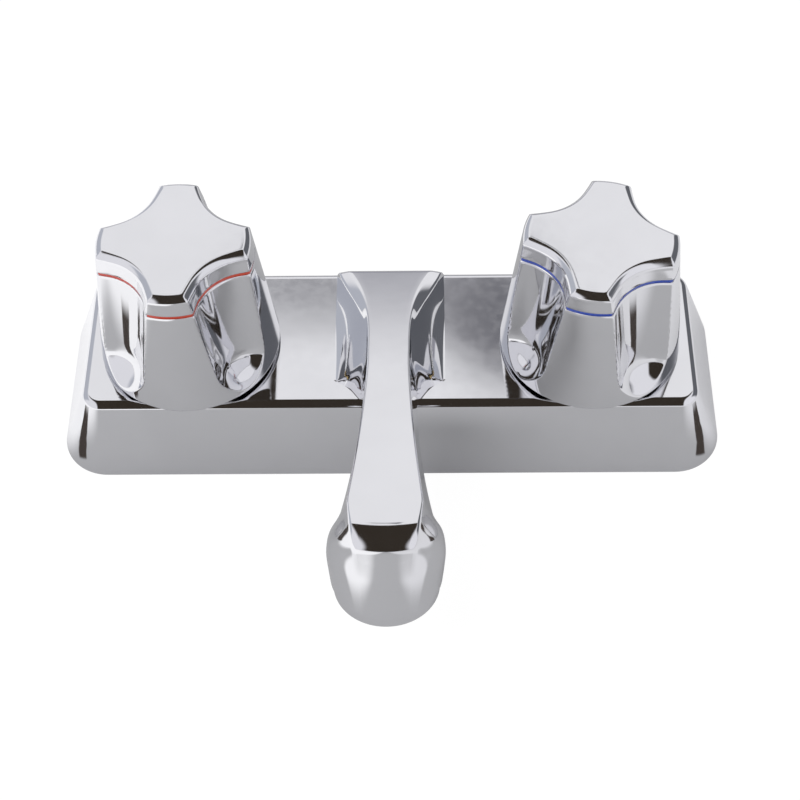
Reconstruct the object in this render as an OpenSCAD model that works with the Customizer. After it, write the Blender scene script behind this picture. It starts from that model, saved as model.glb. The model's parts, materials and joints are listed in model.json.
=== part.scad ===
// Centerset bathroom faucet, in millimetres.
// The origin lies between the two valves on the basin's surface. The spout points to -Y.

/* [Deck] */
// Distance between the two valve centres
valve_spacing = 101.6; // [98:0.1:106]
// Length of the deck at its foot
deck_l = 169; // [160:1:185]
// Depth of the deck at its foot
deck_w = 56.5; // [52:0.5:64]
// How far the deck's middle lies behind the valves
deck_back = 1; // [0:0.1:2]
// Height of the deck
deck_h = 20.5; // [19:0.5:26]
// How far each side leans in over the deck's height
deck_lean = 7.5; // [5:0.5:9]
// Corner radius of the deck at its foot
deck_corner = 12; // [10.5:0.5:14]
// Radius of the rounded edge round the deck's top
deck_edge = 2.1; // [1.2:0.1:2.8]
// Thickness of the cast walls
wall = 2.5; // [2:0.1:3]
// Thickness of the gasket under the deck
gasket_t = 2; // [1.5:0.1:3]
// Gap between the gasket and the cast wall round it
gasket_gap = 0.3; // [0.2:0.05:0.6]

/* [Spout] */
// How far the outlet lies in front of the valves
spout_reach = 77; // [74:1:86]
// Height of the outlet above the deck
outlet_rise = 10.5; // [8:0.5:14]
// Height of the spout's top line above the outlet
nose_h = 26; // [25:0.1:29]
// Lean of the outlet's axis out of the upright, in degrees
outlet_lean = 10; // [6:1:14]
// Height of the spout's top face above the deck at its rear end
spout_rise = 2.6; // [1.8:0.1:3.4]
// Slope of the arm's underside, in degrees
under_slope = 18.4; // [16:0.2:19]
// Radius of the rounded edge over the spout's rear end
rear_edge = 1.2; // [0.8:0.1:1.6]
// Half width of the top face at the rear end
top_rear = 11; // [9:0.5:12]
// Half width of the top face at its waist
top_waist = 5.1; // [4.6:0.1:6]
// Half width of the top face near the crease over the nose
top_front = 8.5; // [7.5:0.1:9.5]
// Half width of the root where it runs into the deck
root_half = 14; // [12.5:0.5:16]
// Half width of the arm's flanks over the deck's front edge
flank_half = 6.9; // [6.5:0.1:8]
// Radius of the nose's rim round the outlet
nose_r = 12.6; // [12.4:0.1:13.5]
// Outer radius of the water tube in the spout
tube_r = 3.6; // [3:0.1:3.8]
// Wall of the water tube
tube_wall = 0.9; // [0.7:0.1:1.2]

/* [Aerator] */
// Outer radius of the aerator's ring
aerator_r = 12; // [11.5:0.1:12.2]
// Height of the ring below the nose
aerator_ring_h = 4.2; // [3:0.1:6]
// Radius of the aerator's threaded neck
aerator_neck_r = 10.4; // [10:0.1:10.8]
// Length of the threaded neck
aerator_neck_h = 6; // [5:0.5:7]
// Number of jets in the outer row of the insert
jet_count = 14; // [8:1:18]

/* [Knobs] */
// Radius of the skirt at the knob's foot
skirt_r = 22.8; // [22:0.1:24]
// Radius of the knob at its top
crown_r = 18.5; // [17.8:0.1:20]
// Height of the knob with its ring and cap
knob_h = 39; // [37:0.5:44]
// Thickness of the cap
cap_t = 5; // [4:0.1:6]
// Thickness of the index ring
ring_t = 1.6; // [1:0.1:2.2]
// Radius of the rounded rim on top of the cap
cap_edge = 2; // [1:0.1:2.4]
// Number of flutes round the knob
flute_count = 4; // [3:1:4]
// Distance of each flute's axis from the knob's axis
flute_axis = 26; // [25:0.5:28]
// Radius of a flute at the knob's top
flute_top_r = 13.2; // [12:0.1:14]
// Radius of a flute where its cup begins
flute_cup_r = 9; // [8:0.1:10]
// Height at which the cup begins
cup_z = 8; // [7:0.5:10]
// Height of the cup's lip above the skirt's foot
cup_lip = 1.4; // [1:0.1:2]
// Radius of the cup's curved floor
cup_floor_r = 18; // [14:1:24]
// Spline steps by which the cold knob was fitted clockwise of the hot one
cold_steps = 1; // [0:1:3]
// Gap between the knob's skirt and the deck
skirt_gap = 1.2; // [0.8:0.1:2]

/* [Valves] */
// Radius of each valve body under the deck
valve_r = 13; // [12.5:0.1:13.6]
// Radius of the valve's threaded neck
neck_r = 10.6; // [10.2:0.1:11]
// Height of the neck above the deck
neck_h = 2.5; // [2:0.1:3]
// Radius of the cartridge barrel
barrel_r = 9; // [8.6:0.1:9.4]
// Thickness of the cartridge's flange
flange_t = 1.5; // [1.2:0.1:2]
// Thickness of the bonnet nut's lip
lip_t = 2; // [1.5:0.1:2.5]
// Size of the bonnet nut across its flats
nut_flats = 27; // [26:0.5:28]
// Radius of the stem
stem_r = 4; // [3.6:0.1:4.2]
// Radius of the stem's foot inside the cartridge
stem_foot_r = 7.2; // [6.8:0.1:7.4]
// Thickness of each ceramic disc
disc_t = 2.2; // [1.8:0.1:2.6]
// Thickness of the rubber seat washer
seat_t = 2.2; // [1.8:0.1:2.6]
// Number of teeth on the splined head
spline_count = 32; // [24:2:36]
// Length of the splined head
spline_l = 9; // [7:0.5:10]

/* [Shanks] */
// Outer radius of the supply shanks
shank_r = 10.45; // [10:0.05:10.8]
// Bore radius of the supply shanks
shank_bore_r = 6.3; // [5:0.1:7]
// Length of the shanks below the deck
shank_l = 50; // [44:1:70]
// Thickness of basin that the mounting nuts leave room for
basin_t = 12; // [8:1:16]
// Height of the mounting nut's hub
wing_hub_h = 10; // [8:1:12]

/* [Fits] */
// Gap between parts that are pushed together
fit_gap = 0.1; // [0.05:0.01:0.2]
// Radial gap of a part that turns
turn_gap = 0.05; // [0.03:0.01:0.08]
// Gap round parts that lie loose in a pocket
loose_gap = 0.4; // [0.3:0.05:0.6]

/* [Hidden] */
$fn = 64;
eps = 0.01;
past = 1;

// Heights in the valve stack, from the basin up
roof_z = deck_h - wall;
neck_z = deck_h + neck_h;
flange_z = neck_z + flange_t;
nut_z = flange_z + lip_t;
knob_z = deck_h + skirt_gap;
foot_drop = 4.35;
foot_z = roof_z - foot_drop;
moving_z = foot_z - disc_t;
fixed_z = moving_z - disc_t - turn_gap;
seat_z = fixed_z - seat_t;
inlet_z = seat_z - 1;
foot_t = 2.5;
foot_top_z = foot_z + foot_t;
disc_r = barrel_r - 1.5;
seal_z = foot_top_z + 3.5;
seal_r = 0.9;

// Heights inside the knob, from its own foot up
cold_turn = -cold_steps * 360 / spline_count;
crown_z = knob_h - cap_t;
body_top = crown_z - ring_t;
recess_r = 16.2;
recess_h = nut_z - knob_z + 0.7;
spline_from = recess_h;
stem_top_z = knob_z + spline_from + spline_l;
socket_top = spline_from + spline_l + loose_gap;
web_t = 3;
web_top = socket_top + web_t;
core_in = 7;
core_out = 10.6;
core_roof = 9;
core_top = body_top - core_roof;
well_r = 5;
plug_l = 5;
screw_r = 1.95;
screw_head_r = 3.8;
screw_head_t = 2.4;
screw_grip = 6.5;
screw_l = web_t + loose_gap + screw_grip;

// Spout: its side profile follows straight lines for the arm and turns about a pivot for the nose
rear_margin = 0.6;
rear_y = deck_back + deck_w / 2 - deck_lean - rear_margin;
root_front_y = deck_back - (deck_w / 2 - deck_lean - deck_edge);
outlet_z = deck_h + outlet_rise;
spout_slope = atan((outlet_rise + nose_h - spout_rise) / (rear_y + spout_reach));
sink = wall - 0.5;
under_drop = deck_edge / 2;
under_y = root_front_y - 0.9 * deck_edge;
rim_c = [-spout_reach + aerator_ring_h * sin(outlet_lean), outlet_z + aerator_ring_h * cos(outlet_lean)];
pivot_gap = 0.9;
pivot_y = rim_c[0] + (nose_r + pivot_gap) * cos(outlet_lean);
pivot_z = rim_c[1] - (nose_r + pivot_gap) * sin(outlet_lean);
crease_angle = 61.5;
rim_angle = outlet_lean;
root_steps = 16;
arm_steps = 12;
turn_steps = 5;
nose_steps = 11;
side_steps = 10;
arm_low_r = 4;
flare_waist = 1.9;
flare_rear = 0.7;

function mix(a, b, t) = a + (b - a) * t;
function clamp01(t) = min(1, max(0, t));
function ease(t) = clamp01(t) * clamp01(t) * (3 - 2 * clamp01(t));

// Height of the spout's top line, which rounds off into the deck at its rear end
function rear_drop(y) = let (t = clamp01((y - rear_y + rear_edge) / rear_edge)) rear_edge * (1 - sqrt(1 - t * t));
function top_z(y) = deck_h + spout_rise + (rear_y - y) * tan(spout_slope) - rear_drop(y);
function under_z(y) = y > under_y ? deck_h - sink : deck_h - under_drop + (under_y - y) * tan(under_slope);

// Half widths of the top face, of the root's foot and of the arm's flanks
waist_y = -14;
front_past = 6;
function top_half(y) = y > waist_y
  ? mix(top_waist, top_rear, pow((y - waist_y) / (rear_y - waist_y), 3.2))
  : mix(top_waist, top_front, pow(clamp01((waist_y - y) / (waist_y - pivot_y + front_past)), 1.7));
root_turn_y = -9;
arm_from_y = -12.5;
function foot_half(y) = let (t = clamp01((root_turn_y - y) / (root_turn_y - root_front_y)))
  mix(flank_half, root_half, sqrt(1 - t * t * t));
flank_nose = nose_r + 0.6;
function flank_at(y) =
  mix(flank_half, flank_nose, pow(clamp01((root_front_y - y) / (root_front_y - rim_c[0])), 2.2));

// One side of a section, from the middle of its foot to the middle of its top, as [half width, height]
function flare_at(y) = mix(flare_waist, flare_rear, pow(clamp01((y - waist_y) / (rear_y - waist_y)), 2));
function root_side(y) = concat(
  [[0, deck_h - sink], [foot_half(y), deck_h - sink]],
  [for (i = [0 : side_steps])
    let (u = i / side_steps)
    [mix(foot_half(y), top_half(y), u), mix(deck_h, top_z(y), pow(u, flare_at(y)))]],
  [[top_half(y) * 0.5, top_z(y)], [0, top_z(y)]]
);
function arm_side(low, high, half_low, half_top) = concat(
  [[0, low], [(half_low - arm_low_r) * 0.6, low]],
  [for (i = [0 : side_steps])
    let (u = i / side_steps, turn = 90 * min(1, u * 2.5), up = max(0, (u - 0.4) / 0.6))
    [mix(half_low - arm_low_r * (1 - sin(turn)), half_top, ease(up) * 0.35 + up * 0.65),
     mix(low + arm_low_r * (1 - cos(turn)), high, up)]],
  [[half_top * 0.5, high], [0, high]]
);
function round_side(low, high, half) = let (n = side_steps + 4, c = (low + high) / 2, r = (high - low) / 2)
  [for (i = [0 : n]) [half * sin(180 * i / n), c - r * cos(180 * i / n)]];
function blend(a, b, t) = [for (i = [0 : len(a) - 1]) a[i] + (b[i] - a[i]) * t];
function ring_of(side) = concat(side, [for (i = [len(side) - 2 : -1 : 1]) [-side[i][0], side[i][1]]]);

// Sections of the root and arm stand upright across Y
arm_ys = concat(
  [rear_y, rear_y - 0.3 * rear_edge],
  [for (i = [0 : root_steps]) mix(rear_y - rear_edge, under_y, i / root_steps)],
  [for (i = [1 : arm_steps]) mix(under_y, pivot_y, i / arm_steps)]
);
function arm_section(y) =
  let (arm = arm_side(under_z(y) + pivot_gap * ease((under_y - y) / 30), top_z(y), flank_at(y), top_half(y)))
  blend(root_side(y), arm, ease((arm_from_y - y) / (arm_from_y - under_y)));

// Sections of the nose fan out from the pivot, from upright to the outlet's plane
top_at_pivot = top_z(pivot_y) - pivot_z;
function line_reach(a) = top_at_pivot * cos(spout_slope) / cos(90 + spout_slope - a);
rim_reach = 2 * nose_r + pivot_gap;
function nose_reach(a) = let (t = (crease_angle - a) / (crease_angle - rim_angle))
  mix(line_reach(crease_angle), rim_reach, t) + 1.6 * sin(180 * t);
function reach(a) = a >= crease_angle ? line_reach(a) : nose_reach(a);
function nose_half(a) = nose_r + 0.8 * sin(180 * (a - rim_angle) / (90 - rim_angle));
bowl_from = 82;
bowl_span = 68 - rim_angle;
function nose_section(a) =
  let (turned = (90 - a) / (90 - rim_angle),
       y = pivot_y - reach(a) * 0.5 * cos(a),
       low = mix(under_z(pivot_y) + pivot_gap - pivot_z, pivot_gap, turned),
       arm = arm_side(low, reach(a), flank_at(y), top_half(pivot_y - reach(a) * cos(a))),
       bowl = round_side(low, reach(a), nose_half(a)))
  blend(arm, bowl, ease((bowl_from - a) / bowl_span));
turn_angles = [for (i = [1 : turn_steps]) mix(90, crease_angle, i / turn_steps)];
nose_angles = [for (i = [1 : nose_steps]) mix(crease_angle, rim_angle, i / nose_steps)];

function arm_points(y) = [for (q = ring_of(arm_section(y))) [q[0], y, q[1]]];
function nose_points(a) =
  [for (q = ring_of(nose_section(a))) [q[0], pivot_y - q[1] * cos(a), pivot_z + q[1] * sin(a)]];

module loft(rings) {
  n = len(rings[0]);
  last = len(rings) - 1;
  points = [for (ring = rings) each ring];
  sides = [for (k = [0 : last - 1], i = [0 : n - 1])
    let (j = (i + 1) % n)
    each [[k * n + i, (k + 1) * n + j, k * n + j], [k * n + i, (k + 1) * n + i, (k + 1) * n + j]]];
  caps = [[for (i = [0 : n - 1]) i], [for (i = [n - 1 : -1 : 0]) last * n + i]];
  polyhedron(points = points, faces = concat(sides, caps), convexity = 6);
}

module spout_form() {
  loft([
    for (y = arm_ys) arm_points(y),
    for (a = turn_angles) nose_points(a),
    for (a = nose_angles) nose_points(a)
  ]);
}

// Water route: up from the tee, along the arm, then down into the outlet
tee_y = -8;
tee_z = foot_z + 0.6;
tube_depth = 7.2;
bend_z = top_z(tee_y) - tube_depth;
drop_run = (top_z(-spout_reach) - tube_depth - outlet_z) / (cos(outlet_lean) + sin(outlet_lean) * tan(spout_slope));
drop_y = -spout_reach + drop_run * sin(outlet_lean);
drop_z = outlet_z + drop_run * cos(outlet_lean);
neck_slack = 0.2;
cavity_r = aerator_neck_r + neck_slack;
washer_t = 2;
cavity_top = aerator_ring_h + aerator_neck_h + washer_t;

knuckle = 0.4;

// Places its children on the outlet's axis, with z counted up from the outlet's plane
module at_outlet() {
  translate([0, -spout_reach, outlet_z]) rotate([-outlet_lean, 0, 0]) children();
}

// The two corners are round knuckles, and the open ends reach further by the last value
module water_route(r, low, further) {
  arm_run = (tee_y - drop_y) / cos(spout_slope);
  end_z = cavity_top - further;
  translate([0, tee_y, low - further]) cylinder(r = r, h = bend_z - low + further);
  translate([0, tee_y, bend_z]) sphere(r = r + knuckle);
  translate([0, tee_y, bend_z]) rotate([90 - spout_slope, 0, 0]) cylinder(r = r, h = arm_run);
  translate([0, drop_y, drop_z]) sphere(r = r + knuckle);
  at_outlet() translate([0, 0, end_z]) cylinder(r = r, h = drop_run - end_z);
}

// Deck: straight prisms between four turned corners, which share one edge profile
module edge_profile(run, high, slope, edge) {
  lean = high * slope;
  tangent = edge * tan((90 - atan(slope)) / 2);
  side = norm([lean, high]);
  top = [run - lean - tangent, high];
  cut = [run - lean + tangent * lean / side, high - tangent * high / side];
  centre = top - [0, edge];
  polygon([[0, 0], [run, 0], cut, centre, top, [0, high]]);
  intersection() {
    translate(centre) circle(r = edge);
    polygon([centre, centre + 2 * (cut - centre), centre + [2 * edge, 2 * edge], centre + [0, 2 * edge]]);
  }
}

module both_ways_profile(run, high, slope, edge) {
  edge_profile(run, high, slope, edge);
  mirror([1, 0]) edge_profile(run, high, slope, edge);
}

module deck_form(long, deep, high, slope, corner, edge) {
  straight_x = long / 2 - corner;
  straight_y = deep / 2 - corner;
  translate([-straight_x, 0, 0]) rotate([90, 0, 90])
    linear_extrude(2 * straight_x) both_ways_profile(deep / 2, high, slope, edge);
  translate([0, straight_y, 0]) rotate([90, 0, 0])
    linear_extrude(2 * straight_y) both_ways_profile(long / 2, high, slope, edge);
  for (sx = [0, 1], sy = [0, 1])
    mirror([sx, 0, 0]) mirror([0, sy, 0]) translate([straight_x, straight_y, 0])
      rotate_extrude(angle = 90) edge_profile(corner, high, slope, edge);
}

lean_rate = deck_lean / deck_h;
wall_shift = wall / cos(atan(lean_rate));
inner_edge = 0.8;

module at_valves() {
  for (side = [-1, 1]) translate([side * valve_spacing / 2, 0, 0]) children();
}

module body_shell() {
  color("gainsboro") difference() {
    union() {
      translate([0, deck_back, 0]) deck_form(deck_l, deck_w, deck_h, lean_rate, deck_corner, deck_edge);
      spout_form();
    }
    translate([0, deck_back, 0])
      deck_form(deck_l - 2 * wall_shift, deck_w - 2 * wall_shift, roof_z, lean_rate,
                deck_corner - wall_shift, inner_edge);
    at_valves() translate([0, 0, roof_z - past]) cylinder(r = neck_r + fit_gap, h = wall + 2 * past);
    water_route(tube_r + fit_gap, roof_z, past);
    at_outlet() translate([0, 0, -past]) cylinder(r = cavity_r, h = cavity_top + past);
  }
}

module base_gasket() {
  inset = wall_shift + gasket_gap + gasket_t * lean_rate;
  r = deck_corner - inset;
  long = deck_l - 2 * inset;
  deep = deck_w - 2 * inset;
  color("dimgray") difference() {
    translate([0, deck_back, 0]) linear_extrude(gasket_t) {
      square([long, deep - 2 * r], center = true);
      square([long - 2 * r, deep], center = true);
      for (sx = [-1, 1], sy = [-1, 1]) translate([sx * (long / 2 - r), sy * (deep / 2 - r)]) circle(r = r);
    }
    at_valves() translate([0, 0, -past]) cylinder(r = shank_r + loose_gap, h = gasket_t + 2 * past);
  }
}

// Waterway: two valve bodies joined by a mixing channel, with a tee for the spout tube
channel_r = 4.8;
channel_bore_r = 3.2;
channel_z = foot_z - 1;
tee_r = tube_r + 2.4;
tee_foot = channel_z - channel_r - 2;
tee_roof_gap = 0.2;
passage_r = 2;
passage_z = tee_z - passage_r - 0.3;
sump = 0.5;

module waterway() {
  color("goldenrod") difference() {
    union() {
      at_valves() translate([0, 0, gasket_t]) cylinder(r = valve_r, h = roof_z - gasket_t);
      at_valves() translate([0, 0, roof_z - eps]) cylinder(r = neck_r, h = neck_z - roof_z + eps);
      translate([-valve_spacing / 2, 0, channel_z]) rotate([0, 90, 0]) cylinder(r = channel_r, h = valve_spacing);
      translate([0, tee_y, tee_foot]) cylinder(r = tee_r, h = roof_z - tee_roof_gap - tee_foot);
    }
    at_valves() translate([0, 0, seat_z]) cylinder(r = barrel_r + fit_gap, h = neck_z);
    at_valves() translate([0, 0, gasket_t - past]) cylinder(r = shank_spigot_r + fit_gap, h = inlet_z - gasket_t + past);
    at_valves() translate([0, 0, inlet_z - past]) cylinder(r = inlet_r, h = 3 * past);
    translate([-valve_spacing / 2, 0, channel_z]) rotate([0, 90, 0]) cylinder(r = channel_bore_r, h = valve_spacing);
    translate([0, tee_y, tee_z]) cylinder(r = tube_r + fit_gap, h = roof_z);
    translate([0, tee_y, passage_z - passage_r - sump]) cylinder(r = tube_r - tube_wall, h = roof_z);
    translate([0, 0, passage_z]) rotate([90, 0, 0]) cylinder(r = passage_r, h = -tee_y);
  }
}

module spout_tube() {
  color("ivory") difference() {
    water_route(tube_r, tee_z + fit_gap, 0);
    water_route(tube_r - tube_wall, tee_z + fit_gap, past);
  }
}

// Aerator: a ring that screws into the nose, a washer on its neck and an insert with jets
insert_r = 8.6;
insert_h = 5;
ledge_h = 1.2;
ledge_w = 1;

module aerator_housing() {
  rim_edge = 0.8;
  neck_top = aerator_ring_h + aerator_neck_h;
  color("silver") at_outlet() difference() {
    rotate_extrude() polygon([
      [0, 0], [aerator_r - rim_edge, 0], [aerator_r, rim_edge], [aerator_r, aerator_ring_h - fit_gap],
      [aerator_neck_r, aerator_ring_h - fit_gap], [aerator_neck_r, neck_top], [0, neck_top]
    ]);
    translate([0, 0, ledge_h]) cylinder(r = insert_r + fit_gap, h = neck_top);
    translate([0, 0, -past]) cylinder(r = insert_r - ledge_w, h = neck_top);
  }
}

module aerator_insert() {
  jet_r = 0.7;
  jet_plate_t = 2;
  color("whitesmoke") at_outlet() translate([0, 0, ledge_h]) difference() {
    cylinder(r = insert_r, h = insert_h);
    translate([0, 0, jet_plate_t]) cylinder(r = insert_r - ledge_w, h = insert_h);
    for (row = [1, 2], i = [0 : jet_count * row / 2 - 1])
      rotate([0, 0, 360 * i / (jet_count * row / 2)]) translate([row * 3, 0, -past])
        cylinder(r = jet_r, h = insert_h, $fn = 16);
  }
}

module aerator_washer() {
  washer_bore_r = tube_r + 2.6;
  color("dimgray") at_outlet() translate([0, 0, aerator_ring_h + aerator_neck_h]) difference() {
    cylinder(r = aerator_neck_r - neck_slack, h = washer_t - fit_gap);
    translate([0, 0, -past]) cylinder(r = washer_bore_r, h = washer_t + 2 * past);
  }
}

// Supply shanks, with a relief groove between the mounting thread and the inlet thread
shank_spigot_r = 8;
inlet_r = 5;
chamfer = 1;
groove_z = -(basin_t + wing_hub_h + 4);
groove_h = 1.5;
groove_r = shank_r - 0.8;

module supply_shank() {
  color("goldenrod") rotate_extrude() polygon([
    [shank_bore_r, -shank_l], [shank_r - chamfer, -shank_l], [shank_r, -shank_l + chamfer],
    [shank_r, groove_z - groove_h], [groove_r, groove_z - groove_h], [groove_r, groove_z],
    [shank_r, groove_z], [shank_r, gasket_t], [shank_spigot_r, gasket_t],
    [shank_spigot_r, inlet_z - fit_gap], [shank_bore_r, inlet_z - fit_gap]
  ]);
}

// Mounting nut: a flanged hub with wings for turning by hand
wing_count = 4;
wing_t = 3;
wing_reach = 21;
hub_r = 14.5;
wing_flange_t = 3;

module mounting_nut() {
  color("white") translate([0, 0, -basin_t - wing_hub_h]) difference() {
    union() {
      cylinder(r = hub_r, h = wing_hub_h);
      translate([0, 0, wing_hub_h - wing_flange_t]) cylinder(r = hub_r + 3.5, h = wing_flange_t);
      for (i = [0 : wing_count - 1]) rotate([0, 0, 360 * i / wing_count + 45])
        translate([hub_r - 1, -wing_t / 2, 0]) cube([wing_reach - hub_r + 1, wing_t, wing_hub_h]);
    }
    translate([0, 0, -past]) cylinder(r = shank_r + fit_gap, h = wing_hub_h + 2 * past);
  }
}

module bonnet_nut() {
  color("goldenrod") translate([0, 0, deck_h]) difference() {
    intersection() {
      cylinder(r = nut_flats / 2 / cos(30), h = nut_z - deck_h, $fn = 6);
      rotate_extrude() polygon([
        [0, 0], [nut_flats / 2 / cos(30), 0], [nut_flats / 2 / cos(30), nut_z - deck_h - 1.2],
        [nut_flats / 2, nut_z - deck_h], [0, nut_z - deck_h]
      ]);
    }
    translate([0, 0, -past]) cylinder(r = neck_r + fit_gap, h = flange_z - deck_h + past);
    translate([0, 0, -past]) cylinder(r = stem_r + 2.5, h = nut_z);
  }
}

// Cartridge: a barrel whose foot is open for the discs, with a bore for the stem and its seal
module cartridge() {
  color("khaki") difference() {
    union() {
      translate([0, 0, fixed_z + fit_gap]) cylinder(r = barrel_r, h = neck_z - fixed_z);
      translate([0, 0, neck_z]) cylinder(r = neck_r - neck_slack, h = flange_t);
      translate([0, 0, flange_z - eps]) cylinder(r = stem_r + 2.2, h = lip_t - 0.3);
    }
    translate([0, 0, fixed_z - past]) cylinder(r = disc_r + fit_gap, h = foot_top_z + turn_gap - fixed_z + past);
    translate([0, 0, fixed_z]) cylinder(r = stem_r + turn_gap, h = stem_top_z);
    translate([0, 0, seal_z]) cylinder(r = stem_r + 1.8 * seal_r, h = 2.2 * seal_r);
    for (side = [-1, 1]) translate([side * disc_r, 0, foot_z]) rotate([0, side * 90, 0]) cylinder(r = 2, h = barrel_r);
  }
}

module seat_washer() {
  color("black") translate([0, 0, seat_z]) difference() {
    cylinder(r = disc_r, h = seat_t);
    translate([0, 0, -past]) cylinder(r = inlet_r, h = seat_t + 2 * past);
  }
}

port_r = 2.1;
port_at = 4.3;

module ported_disc(turn) {
  difference() {
    cylinder(r = disc_r, h = disc_t);
    for (side = [0, 180]) rotate([0, 0, side + turn]) translate([port_at, 0, -past])
      cylinder(r = port_r, h = disc_t + 2 * past, $fn = 32);
  }
}

module fixed_disc() {
  color("white") translate([0, 0, fixed_z]) ported_disc(0);
}

// The moving disc's ports lie across the fixed disc's ports while the valve is shut
tang_l = 5;
tang_w = 2.4;
tang_h = 1.2;

module moving_disc() {
  color("ivory") translate([0, 0, moving_z]) difference() {
    ported_disc(90);
    translate([-tang_l / 2 - fit_gap, -tang_w / 2 - fit_gap, disc_t - tang_h - fit_gap])
      cube([tang_l + 2 * fit_gap, tang_w + 2 * fit_gap, tang_h + 2 * fit_gap]);
  }
}

spline_in = stem_r - 0.8;
spline_out = stem_r - 0.1;

module spline_outline(grow) {
  polygon([for (i = [0 : 2 * spline_count - 1])
    let (r = (i % 2 == 0 ? spline_out : spline_in) + grow, a = 180 * i / spline_count)
    [r * cos(a), r * sin(a)]]);
}

module stem() {
  spline_z = knob_z + spline_from;
  color("darkgoldenrod") difference() {
    union() {
      translate([-tang_l / 2, -tang_w / 2, foot_z - tang_h]) cube([tang_l, tang_w, tang_h + eps]);
      translate([0, 0, foot_z]) cylinder(r = stem_foot_r, h = foot_t);
      translate([0, 0, foot_z]) cylinder(r = stem_r, h = spline_z - foot_z);
      translate([0, 0, spline_z - eps]) linear_extrude(spline_l + eps) spline_outline(0);
    }
    translate([0, 0, seal_z]) difference() {
      cylinder(r = stem_r + past, h = 2.2 * seal_r);
      translate([0, 0, -past]) cylinder(r = stem_r - 0.7, h = 2.2 * seal_r + 2 * past);
    }
    translate([0, 0, stem_top_z - screw_l]) cylinder(r = screw_r + turn_gap, h = screw_l + past);
  }
}

module stem_seal() {
  color("black") translate([0, 0, seal_z + 1.1 * seal_r]) rotate_extrude()
    translate([stem_r - 0.7 + seal_r + fit_gap, 0]) circle(r = seal_r, $fn = 24);
}

// Knob: a turned form with flutes that end in cups, cut the same way through body, ring and cap
knob_rate = (skirt_r - crown_r) / knob_h;
function knob_r(z) = skirt_r - knob_rate * z;
flute_rate = (flute_top_r - flute_cup_r) / (knob_h - cup_z);
function flute_r(z) = flute_cup_r + flute_rate * (z - cup_z);

module flute_cutter() {
  tip = [flute_axis - knob_r(cup_lip), cup_lip];
  top = [flute_cup_r, cup_z];
  half = norm(top - tip) / 2;
  along = (top - tip) / (2 * half);
  depth = sqrt(cup_floor_r * cup_floor_r - half * half);
  centre = (tip + top) / 2 + depth * [-along[1], along[0]];
  rotate_extrude() {
    polygon([[0, cup_z - eps], [flute_r(cup_z), cup_z - eps], [flute_r(knob_h + past), knob_h + past],
             [0, knob_h + past]]);
    intersection() {
      translate(centre) circle(r = cup_floor_r, $fn = 128);
      translate([0, -past]) square([flute_cup_r + past, cup_z + past]);
    }
  }
}

module flutes() {
  for (i = [0 : flute_count - 1]) rotate([0, 0, 360 * (i + 0.5) / flute_count])
    translate([flute_axis, 0, 0]) flute_cutter();
}

// Turns its children to the knob's place on the left (hot) or right (cold) valve
module at_knob(side) {
  translate([side * valve_spacing / 2, 0, knob_z]) rotate([0, 0, side > 0 ? cold_turn : 0]) children();
}

module handle_body() {
  foot_edge = 0.6;
  difference() {
    rotate_extrude() polygon([
      [0, 0], [knob_r(0) - foot_edge, 0], [knob_r(foot_edge), foot_edge], [knob_r(body_top), body_top], [0, body_top]
    ]);
    flutes();
    translate([0, 0, -past]) cylinder(r = recess_r, h = recess_h + past);
    difference() {
      translate([0, 0, recess_h - eps]) cylinder(r = core_out, h = core_top - recess_h);
      translate([0, 0, -past]) cylinder(r = core_in, h = knob_h);
    }
    translate([0, 0, recess_h - past]) linear_extrude(socket_top - recess_h + past) spline_outline(fit_gap);
    cylinder(r = screw_r + 0.3, h = knob_h);
    translate([0, 0, web_top]) cylinder(r = well_r, h = knob_h);
  }
}

module index_ring_form() {
  difference() {
    translate([0, 0, body_top]) cylinder(r1 = knob_r(body_top) - fit_gap, r2 = knob_r(crown_z) - fit_gap, h = ring_t);
    flutes();
    cylinder(r = well_r + 0.4, h = knob_h);
  }
}

// The cap's rim is rounded on its lobes by the turned form and in the flutes by flared cutters
module flute_flare() {
  rim_z = knob_h - cap_edge;
  rotate_extrude() difference() {
    translate([0, rim_z]) square([flute_r(rim_z) + cap_edge, cap_edge + past]);
    translate([flute_r(rim_z) + cap_edge, rim_z]) circle(r = cap_edge);
  }
}

module handle_cap_form() {
  rim_z = knob_h - cap_edge;
  difference() {
    rotate_extrude() {
      polygon([[0, crown_z], [knob_r(crown_z), crown_z], [knob_r(rim_z), rim_z],
               [knob_r(rim_z) - cap_edge, knob_h], [0, knob_h]]);
      translate([knob_r(rim_z) - cap_edge, rim_z]) circle(r = cap_edge);
    }
    flutes();
    for (i = [0 : flute_count - 1]) rotate([0, 0, 360 * (i + 0.5) / flute_count])
      translate([flute_axis, 0, 0]) flute_flare();
  }
  translate([0, 0, crown_z - plug_l]) cylinder(r = well_r - fit_gap, h = plug_l + eps);
}

module handle_screw_form() {
  slot_w = 1;
  translate([0, 0, web_top]) difference() {
    union() {
      cylinder(r = screw_head_r, h = screw_head_t);
      translate([0, 0, -screw_l]) cylinder(r = screw_r, h = screw_l + eps);
    }
    for (turn = [0, 90]) rotate([0, 0, turn])
      translate([-screw_head_r * 0.7, -slot_w / 2, screw_head_t - 1.2]) cube([screw_head_r * 1.4, slot_w, 1.2 + past]);
  }
}

module at_side(side) {
  translate([side * valve_spacing / 2, 0, 0]) children();
}

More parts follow.
